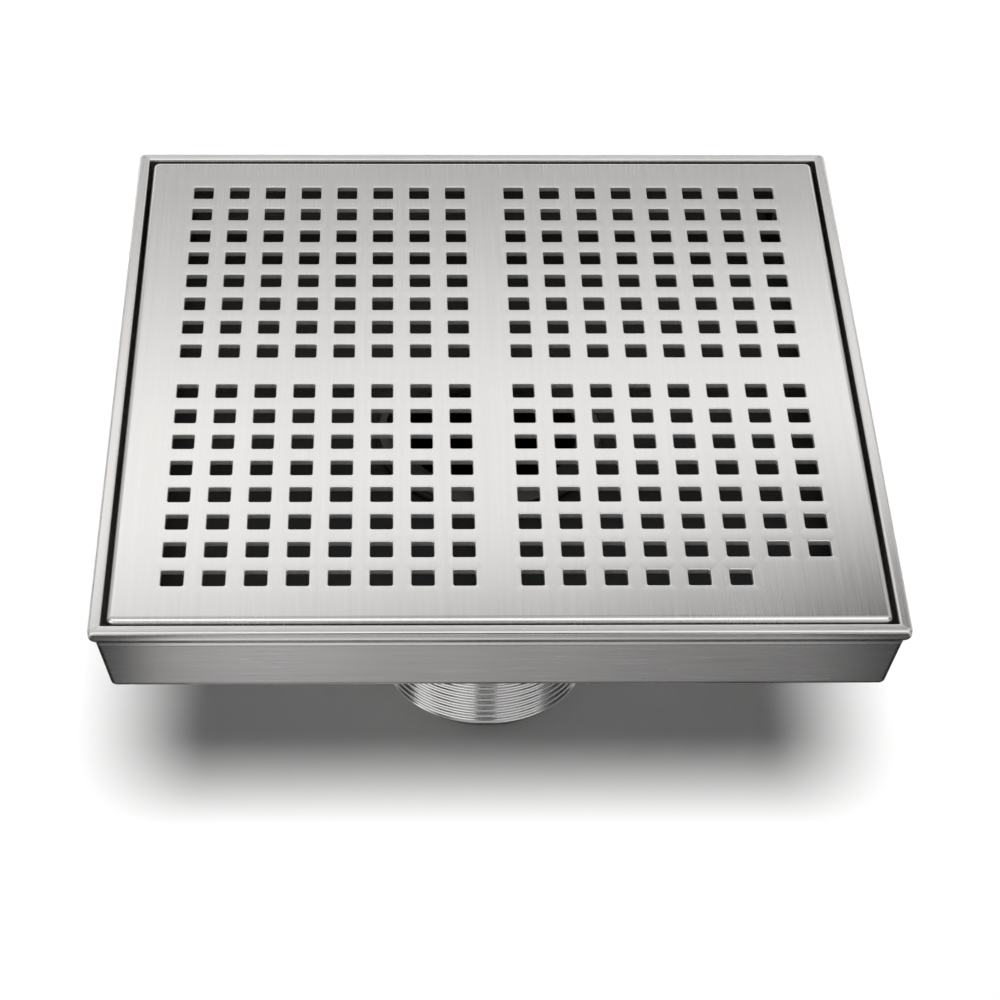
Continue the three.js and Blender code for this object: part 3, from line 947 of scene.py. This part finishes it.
def strainer_basket():
    """A drawn cup with a rolled flange, round-ended slots and drain holes in its bottom."""
    bottom, flange_top = BASKET_BOX[0].z, BASKET_BOX[1].z
    flange_bottom = flange_top - BASKET_FLANGE
    outer, inner = BASKET_RADIUS, BASKET_RADIUS - BASKET_SHEET
    flange = BASKET_BOX[1].x
    draw, lip, roll = BASKET_DRAW, BASKET_LIP, BASKET_FLANGE / 2
    profile = [(AXIS, bottom)]
    profile += arc((outer - draw, bottom + draw), draw, -90, 0, 8)
    profile += arc((outer + lip, flange_bottom - lip), lip, 180, 90, 6)
    profile += arc((flange - roll, flange_bottom + roll), roll, -90, 90, 10)
    profile += arc((inner + lip, flange_top - lip), lip, 90, 180, 6)
    profile += arc((inner - draw + BASKET_SHEET, bottom + draw), draw - BASKET_SHEET, 0, -90, 6)
    profile += [(AXIS, bottom + BASKET_SHEET)]

    tools = Shape()
    half_width = SLOT_WIDTH / 2
    straight = SLOT_HEIGHT / 2 - half_width
    slot = arc((0, straight), half_width, 0, 180, 10) + arc((0, -straight), half_width, 180, 360, 10)
    middle = Vector((0, 0, (flange_bottom + bottom) / 2))
    for i in range(SLOT_COUNT):
        turn = (i + 0.5) * 2 * math.pi / SLOT_COUNT
        out = Vector((math.cos(turn), math.sin(turn), 0))
        side = Vector((-math.sin(turn), math.cos(turn), 0))
        outline_points = [side * u + Vector((0, 0, v)) for u, v in slot]
        prism(tools, outline_points, middle + out * (inner - BASKET_SHEET), out * 3 * BASKET_SHEET)
    for ring, count in DRAIN_RINGS:
        for i in range(count):
            turn = i * 2 * math.pi / count
            start = Vector((ring * math.cos(turn), ring * math.sin(turn), bottom - BASKET_SHEET))
            prism(tools, round_ring(DRAIN_HOLE_RADIUS, 0, 24), start, Vector((0, 0, 3 * BASKET_SHEET)))
    cup = carved(lathe(profile, 120, closed=False), tools)
    # The basket's dark steel is painted shade.
    build("perforated_basket", cup, SHADED_STRAINER_STEEL, "strainer", grain_round_z,
          replaces=["strainer_basket"], smooth_angle=30)


# ------------------------------------------------------------------ studio
CAMERA_AZIMUTH = -1.344
CAMERA_ELEVATION = 41.82
CAMERA_ROLL = 0.811
CAMERA_DISTANCE = 744.3 * MM
CAMERA_TARGET = Vector((-11.73 * MM, -52.17 * MM, RIM_TOP))
CAMERA_LENS = 105.09
CAMERA_SHIFT = 0.05
CAMERA_AROUND, CAMERA_UP = math.radians(CAMERA_AZIMUTH), math.radians(CAMERA_ELEVATION)
CAMERA_SIDE = Vector((math.sin(CAMERA_AROUND) * math.cos(CAMERA_UP),
                      -math.cos(CAMERA_AROUND) * math.cos(CAMERA_UP), math.sin(CAMERA_UP)))
EYE = CAMERA_TARGET + CAMERA_SIDE * CAMERA_DISTANCE
REAR_CARD_HEIGHT = 260 * MM
FLOOR_CARD_HEIGHT = 1 * MM
OUTLET_CARD_HEIGHT = 2 * MM
OUTLET_CARD_DEPTH = (-0.095, -0.03)
DARK_CORNER = (130 * MM, -130 * MM)
SLANT_RAISE = 0.1
SUN_STRENGTH = 3.7
SUN_SPREAD = 20
SUN_DIRECTION = Vector((0.0, -0.454, 0.891))
MATT_AMBIENT = 0.09
FLOOR_SINK = 0.05 * MM
# Bearing and elevation in degrees, distance, width and height in metres, brightness.
FACING_CARDS = {
    "front_left_box": (223, 19, 1.2, 1.5, 0.47, 1.5),
    "front_right_box": (147, 19, 1.2, 1.02, 0.47, 1.0),
    "front_gap": (180, 19, 1.1, 0.36, 0.5, 0.03),
    "right_gap": (104, 19, 1.1, 0.75, 0.5, 0.03),
    "left_gap": (266, 19, 1.1, 0.45, 0.5, 0.03),
    "overhead_strip": (180, 67, 0.9, 1.5, 0.66, 1.4),
    "rear_strip": (0, 10, 1.2, 1.8, 0.4, 1.2),
}
# Cards on the floor before the outlet: from X, to X, brightness.
OUTLET_CARDS = {
    "outlet_left_glow": (-0.085, -0.013, 0.45),
    "outlet_right_glow": (0.011, 0.06, 0.2),
    "outlet_gap": (-0.013, 0.011, 0.02),
}


def make_camera():
    data = bpy.data.cameras.new("camera")
    data.sensor_width = 36
    data.lens = CAMERA_LENS
    data.shift_x = CAMERA_SHIFT
    data.clip_start = 0.02
    data.clip_end = 50
    camera = bpy.data.objects.new("camera", data)
    bpy.context.scene.collection.objects.link(camera)
    look = (-CAMERA_SIDE).to_track_quat("-Z", "Y").to_matrix().to_4x4()
    roll = Matrix.Rotation(math.radians(CAMERA_ROLL), 4, "Z")
    camera.matrix_world = Matrix.Translation(EYE) @ look @ roll
    bpy.context.scene.camera = camera


def level_card(x_range, y_range, z):
    """Corners of a card lying level."""
    (x0, x1), (y0, y1) = x_range, y_range
    return [(x0, y0, z), (x1, y0, z), (x1, y1, z), (x0, y1, z)]


def facing_card(azimuth, elevation, distance, width, height):
    """Corners of a card that faces the rim from that bearing (0 is behind it) and height."""
    a, e = math.radians(azimuth), math.radians(elevation)
    direction = Vector((math.sin(a) * math.cos(e), math.cos(a) * math.cos(e), math.sin(e)))
    across = direction.cross(Vector((0, 0, 1))).normalized() * width / 2
    up = across.normalized().cross(direction) * height / 2
    middle = Vector((0, 0, RIM_TOP)) + direction * distance
    return [middle - across - up, middle + across - up, middle + across + up, middle - across + up]


def card(name, corners, glow):
    """A studio card that only the steel reflects; glow is its brightness, or makes it from X and Y."""
    mesh = bpy.data.meshes.new(name)
    mesh.from_pydata(corners, [], [(0, 1, 2, 3)])
    nodes = Nodes(bpy.data.materials.new(name))
    nodes.tree.nodes.remove(nodes.shader)
    emission = nodes.add("ShaderNodeEmission")
    if callable(glow):
        place = nodes.add("ShaderNodeTexCoord")
        split = nodes.add("ShaderNodeSeparateXYZ")
        nodes.link(place.outputs["Object"], split.inputs["Vector"])
        nodes.link(glow(nodes, split.outputs["X"], split.outputs["Y"]), emission.inputs["Strength"])
    else:
        emission.inputs["Strength"].default_value = glow
    nodes.link(emission.outputs["Emission"], nodes.tree.nodes["Material Output"].inputs["Surface"])
    mesh.materials.append(nodes.owner)
    piece = bpy.data.objects.new(name, mesh)
    bpy.context.scene.collection.objects.link(piece)
    piece.visible_camera = False
    piece.visible_diffuse = False
    piece.visible_shadow = False
    piece.visible_transmission = False


def rear_glow(nodes, x, y):
    """Follows the grate: dimmer at its rear, brightest before the front edge, dark front right."""
    spread = REAR_CARD_HEIGHT / (EYE.z - RIM_TOP)
    u = nodes.maths("DIVIDE", nodes.maths("ADD", x, EYE.x * spread), 1 + spread)
    v = nodes.maths("DIVIDE", nodes.maths("ADD", y, EYE.y * spread), 1 + spread)
    raised_slant = nodes.curve(v, [(-100 * MM, 0.26), (-70 * MM, 0.2), (40 * MM, 0.2),
                                   (80 * MM, 0.08), (100 * MM, 0.02)])
    slant = nodes.maths("SUBTRACT", raised_slant, SLANT_RAISE)
    slanted = nodes.maths("SUBTRACT", v, nodes.maths("MULTIPLY", u, slant))
    base = nodes.curve(slanted, [(-125 * MM, 0.12), (-104 * MM, 0.39), (-88 * MM, 0.87), (-68 * MM, 1.12),
                                 (-40 * MM, 1.15), (0, 1.09), (45 * MM, 0.83), (90 * MM, 0.56),
                                 (110 * MM, 0.47)])
    across = nodes.maths("POWER", nodes.maths("SUBTRACT", u, DARK_CORNER[0]), 2.0)
    along = nodes.maths("POWER", nodes.maths("SUBTRACT", v, DARK_CORNER[1]), 2.0)
    distance = nodes.maths("SQRT", nodes.maths("ADD", across, along))
    shade = nodes.curve(distance, [(20 * MM, 0.02), (58 * MM, 0.15), (70 * MM, 0.45), (85 * MM, 0.72),
                                    (125 * MM, 1.0)])
    margin = nodes.curve(nodes.maths("ABSOLUTE", u), [(70 * MM, 0), (92 * MM, 0.12)])
    front = nodes.curve(v, [(0, 1.0), (60 * MM, 0)])
    lift = nodes.maths("ADD", 1.0, nodes.maths("MULTIPLY", margin, front))
    base = nodes.maths("MULTIPLY", base, lift)
    return nodes.maths("MULTIPLY", base, shade)


def floor_glow(nodes, x, y):
    """Follows the front wall: even over its left and middle, falling off to both ends."""
    sideways = nodes.curve(x, [(-125 * MM, 0.1), (-108 * MM, 0.26), (-96 * MM, 0.82), (-80 * MM, 0.95),
                               (-45 * MM, 0.93), (0, 0.79), (40 * MM, 0.63), (79 * MM, 0.52),
                               (102 * MM, 0.42), (125 * MM, 0.12)])
    forwards = nodes.curve(y, [(-440 * MM, 0.65), (-230 * MM, 0.7), (-205 * MM, 0.75), (-182 * MM, 1.1),
                               (-164 * MM, 1.9), (-152 * MM, 1.5), (-140 * MM, 0.8), (-126 * MM, 0.3),
                               (-105 * MM, 0.1), (-60 * MM, 0.03)])
    return nodes.maths("MULTIPLY", sideways, forwards)


def make_sun():
    """Throws the soft shadow on the floor; the steel doesn't reflect it."""
    data = bpy.data.lights.new("key", "SUN")
    data.energy = SUN_STRENGTH
    data.angle = math.radians(SUN_SPREAD)
    sun = bpy.data.objects.new("key", data)
    bpy.context.scene.collection.objects.link(sun)
    sun.rotation_mode = "QUATERNION"
    sun.rotation_quaternion = SUN_DIRECTION.to_track_quat("Z", "Y")
    sun.visible_glossy = False


def make_world():
    """A pale room: bright round the horizon, greyer above, and dim for matt surfaces."""
    world = bpy.data.worlds.new("studio")
    bpy.context.scene.world = world
    nodes = Nodes(world)
    background = nodes.tree.nodes["Background"]
    place = nodes.add("ShaderNodeTexCoord")
    split = nodes.add("ShaderNodeSeparateXYZ")
    nodes.link(place.outputs["Generated"], split.inputs["Vector"])
    seen = nodes.curve(split.outputs["Z"], [(0.0, 0.45), (0.1, 0.5), (0.2, 0.6), (0.45, 0.58),
                                            (1.0, 0.6)])
    path = nodes.add("ShaderNodeLightPath")
    matt = path.outputs["Is Diffuse Ray"]
    dimmer = nodes.maths("SUBTRACT", 1.0, matt)
    strength = nodes.maths("ADD", nodes.maths("MULTIPLY", seen, dimmer),
                           nodes.maths("MULTIPLY", matt, MATT_AMBIENT))
    nodes.link(strength, background.inputs["Strength"])
    background.inputs["Color"].default_value = (1, 1, 1, 1)


def make_studio():
    bpy.context.scene.view_settings.view_transform = "Standard"
    make_sun()
    make_world()
    card("rear_card", level_card((-0.26, 0.30), (0.13, 0.62), RIM_TOP + REAR_CARD_HEIGHT), rear_glow)
    card("floor_card", level_card((-0.2, 0.2), (-0.44, -0.05), FLOOR_CARD_HEIGHT), floor_glow)
    for name, (*place, level) in FACING_CARDS.items():
        card(name, facing_card(*place), level)
    for name, (start, end, level) in OUTLET_CARDS.items():
        card(name, level_card((start, end), OUTLET_CARD_DEPTH, OUTLET_CARD_HEIGHT), level)

    mesh = bpy.data.meshes.new("studio_floor")
    mesh.from_pydata(level_card((-6, 6), (-6, 6), 0), [], [(0, 1, 2, 3)])
    mesh.materials.append(floor_material())
    ground = bpy.data.objects.new("studio_floor", mesh)
    ground.location.z = -FLOOR_SINK
    bpy.context.scene.collection.objects.link(ground)


def floor_material():
    nodes = Nodes(bpy.data.materials.new("studio floor"))
    nodes.shader.inputs["Base Color"].default_value = (0.92, 0.918, 0.915, 1)
    nodes.shader.inputs["Roughness"].default_value = 0.75
    nodes.shader.inputs["Specular IOR Level"].default_value = 0.1
    return nodes.owner


make_camera()
make_studio()
pan_walls()
pan_floor()
threaded_pipe()
pan_welds()
grate_plate()
grate_underside()
strainer_basket()
strainer_gasket()
strainer_handle()
